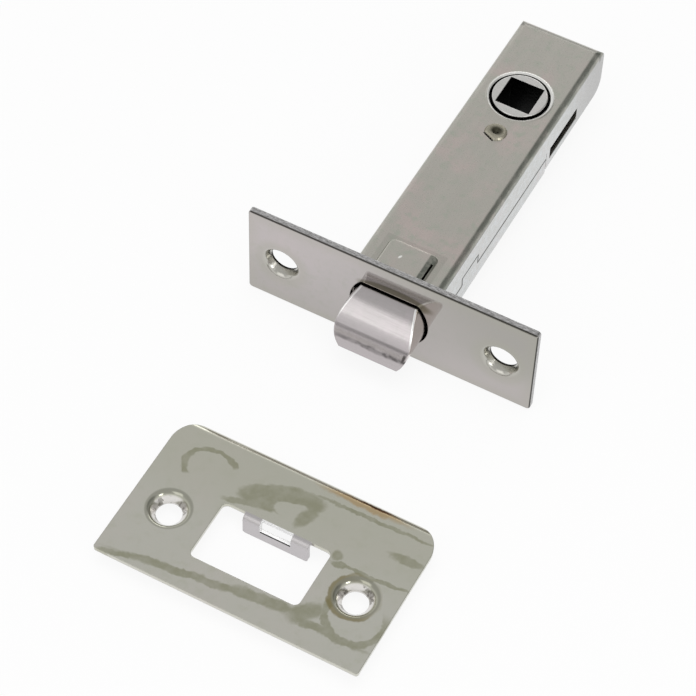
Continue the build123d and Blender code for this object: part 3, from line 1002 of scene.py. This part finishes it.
def dress_latch():
    """Gives each solid its finish, and puts the coils in place of the plain springs."""
    case_zinc = make_case_zinc()
    inner_steel = make_steel("inner_steel", tone(120, 118, 113), tone(96, 94, 89), 0.35)
    spring_steel = make_steel("spring_steel", tone(140, 140, 142), tone(110, 110, 112), 0.28)
    finishes = {
        "faceplate": make_plate_nickel(),
        "latch_bolt": make_bolt_nickel(),
        "strike_plate": make_strike_nickel(),
        "case_shell": case_zinc,
        "case_cover": case_zinc,
        "spring_stop": make_stop_zinc(),
        "follower": make_follower_steel(),
        "yoke": inner_steel,
        "bolt_stem": inner_steel,
    }
    for node, material in finishes.items():
        coat_piece(nodes[node], material)
    place_spring("bolt_spring", BOLT_WIRE, BOLT_TURNS, spring_steel, "yoke")
    place_spring("return_spring", RETURN_WIRE, RETURN_TURNS, spring_steel, "case")


# The studio
def seen_rays(tree):
    """1 for rays from the camera and for those seen in metal or glass."""
    rays = put(tree, "ShaderNodeLightPath").outputs
    return most(tree, rays["Is Camera Ray"], rays["Is Glossy Ray"], rays["Is Transmission Ray"])


def make_floor():
    """A wide pale floor that keeps a soft shadow."""
    bpy.ops.mesh.primitive_plane_add(size=FLOOR_SIZE, location=(0, 0, strike_low.z * MM - FLOOR_GAP))
    floor = bpy.context.object
    floor.name = "floor"
    material, tree, shader = new_material("pale_floor", metallic=0.0)
    shader.inputs["Base Color"].default_value = (0.86, 0.86, 0.86, 1.0)
    shader.inputs["Roughness"].default_value = 0.9
    white = put(tree, "ShaderNodeEmission", {"Color": WHITE, "Strength": 1.0}).outputs[0]
    share = times(tree, seen_rays(tree), FLOOR_WHITE)
    mixed = put(tree, "ShaderNodeMixShader", {0: share, 1: shader.outputs[0], 2: white})
    feed(tree, tree.nodes["Material Output"].inputs["Surface"], mixed.outputs[0])
    coat_piece(floor, material)


def make_world():
    """Plain white surroundings, which metal sees greyer overhead, with a dim horizon and one dim corner."""
    world = bpy.data.worlds.new("studio")
    scene.world = world
    world.use_nodes = True
    tree = world.node_tree
    tree.nodes.clear()
    way = put(tree, "ShaderNodeTexCoord").outputs["Generated"]
    upward = along_axes(tree, way)[2]
    facing = dot_of(tree, way, Vector(DIM_CORNER_WAY).normalized())
    corner_from, corner_full = (math.cos(math.radians(angle)) for angle in (DIM_CORNER_FROM, DIM_CORNER_FULL))
    sky = lay_coats(tree, WHITE, [
        (span(tree, upward, 0.3, 0.72), 1.0, (0.68, 0.68, 0.68, 1.0)),
        (span(tree, facing, corner_from, corner_full), 0.55, tone(70, 72, 66)),
        (below(tree, upward, 0.07, 0.08), 0.8, tone(60, 58, 52)),
    ])
    mirrored = put(tree, "ShaderNodeLightPath").outputs["Is Glossy Ray"]
    shown_colour = blend_colour(tree, mirrored, WHITE, sky)
    shown = put(tree, "ShaderNodeBackground", {"Color": shown_colour, "Strength": 1.0}).outputs[0]
    lighting = put(tree, "ShaderNodeBackground", {"Color": WHITE, "Strength": 0.5}).outputs[0]
    mixed = put(tree, "ShaderNodeMixShader", {0: seen_rays(tree), 1: lighting, 2: shown})
    last = tree.nodes.new("ShaderNodeOutputWorld")
    feed(tree, last.inputs["Surface"], mixed.outputs[0])


def add_softbox(name, place, size, level, mirrored=True):
    """A soft rectangular lamp that faces the latch. At a level of 1 it is as bright as the floor's white."""
    light = bpy.data.lights.new(name, "AREA")
    light.shape = "RECTANGLE"
    light.size, light.size_y = size
    light.energy = level * math.pi * size[0] * size[1]
    lamp = bpy.data.objects.new(name, light)
    scene.collection.objects.link(lamp)
    lamp.location = place
    aim = Vector(LAMP_AIM) - Vector(place)
    lamp.rotation_mode = "QUATERNION"
    lamp.rotation_quaternion = aim.to_track_quat("-Z", "Y")
    lamp.visible_camera = False
    lamp.visible_glossy = mirrored


def make_camera():
    """The camera at the photograph's viewing angle."""
    azimuth = math.radians(VIEW_AZIMUTH)
    elevation = math.radians(VIEW_ELEVATION)
    roll = math.radians(VIEW_ROLL)
    level_back = Vector((math.sin(azimuth), -math.cos(azimuth), 0))
    back = level_back * math.cos(elevation) + Vector((0, 0, math.sin(elevation)))
    level = Vector((0, 0, 1)).cross(back).normalized()
    upright = back.cross(level)
    right = level * math.cos(roll) + upright * math.sin(roll)
    up = upright * math.cos(roll) - level * math.sin(roll)
    camera = bpy.data.objects.new("camera", bpy.data.cameras.new("camera"))
    scene.collection.objects.link(camera)
    camera.data.lens = LENS
    camera.data.sensor_width = SENSOR
    camera.data.clip_start = 0.01
    camera.data.clip_end = 20.0
    place = (right * VIEW_RIGHT + up * VIEW_UP + back * VIEW_DISTANCE) * MM
    axes = Matrix((right, up, back)).transposed().to_4x4()
    camera.matrix_world = Matrix.Translation(place) @ axes
    scene.camera = camera


dress_latch()
make_floor()
make_world()
for box_name, box in SOFTBOXES.items():
    add_softbox(box_name, **box)
make_camera()
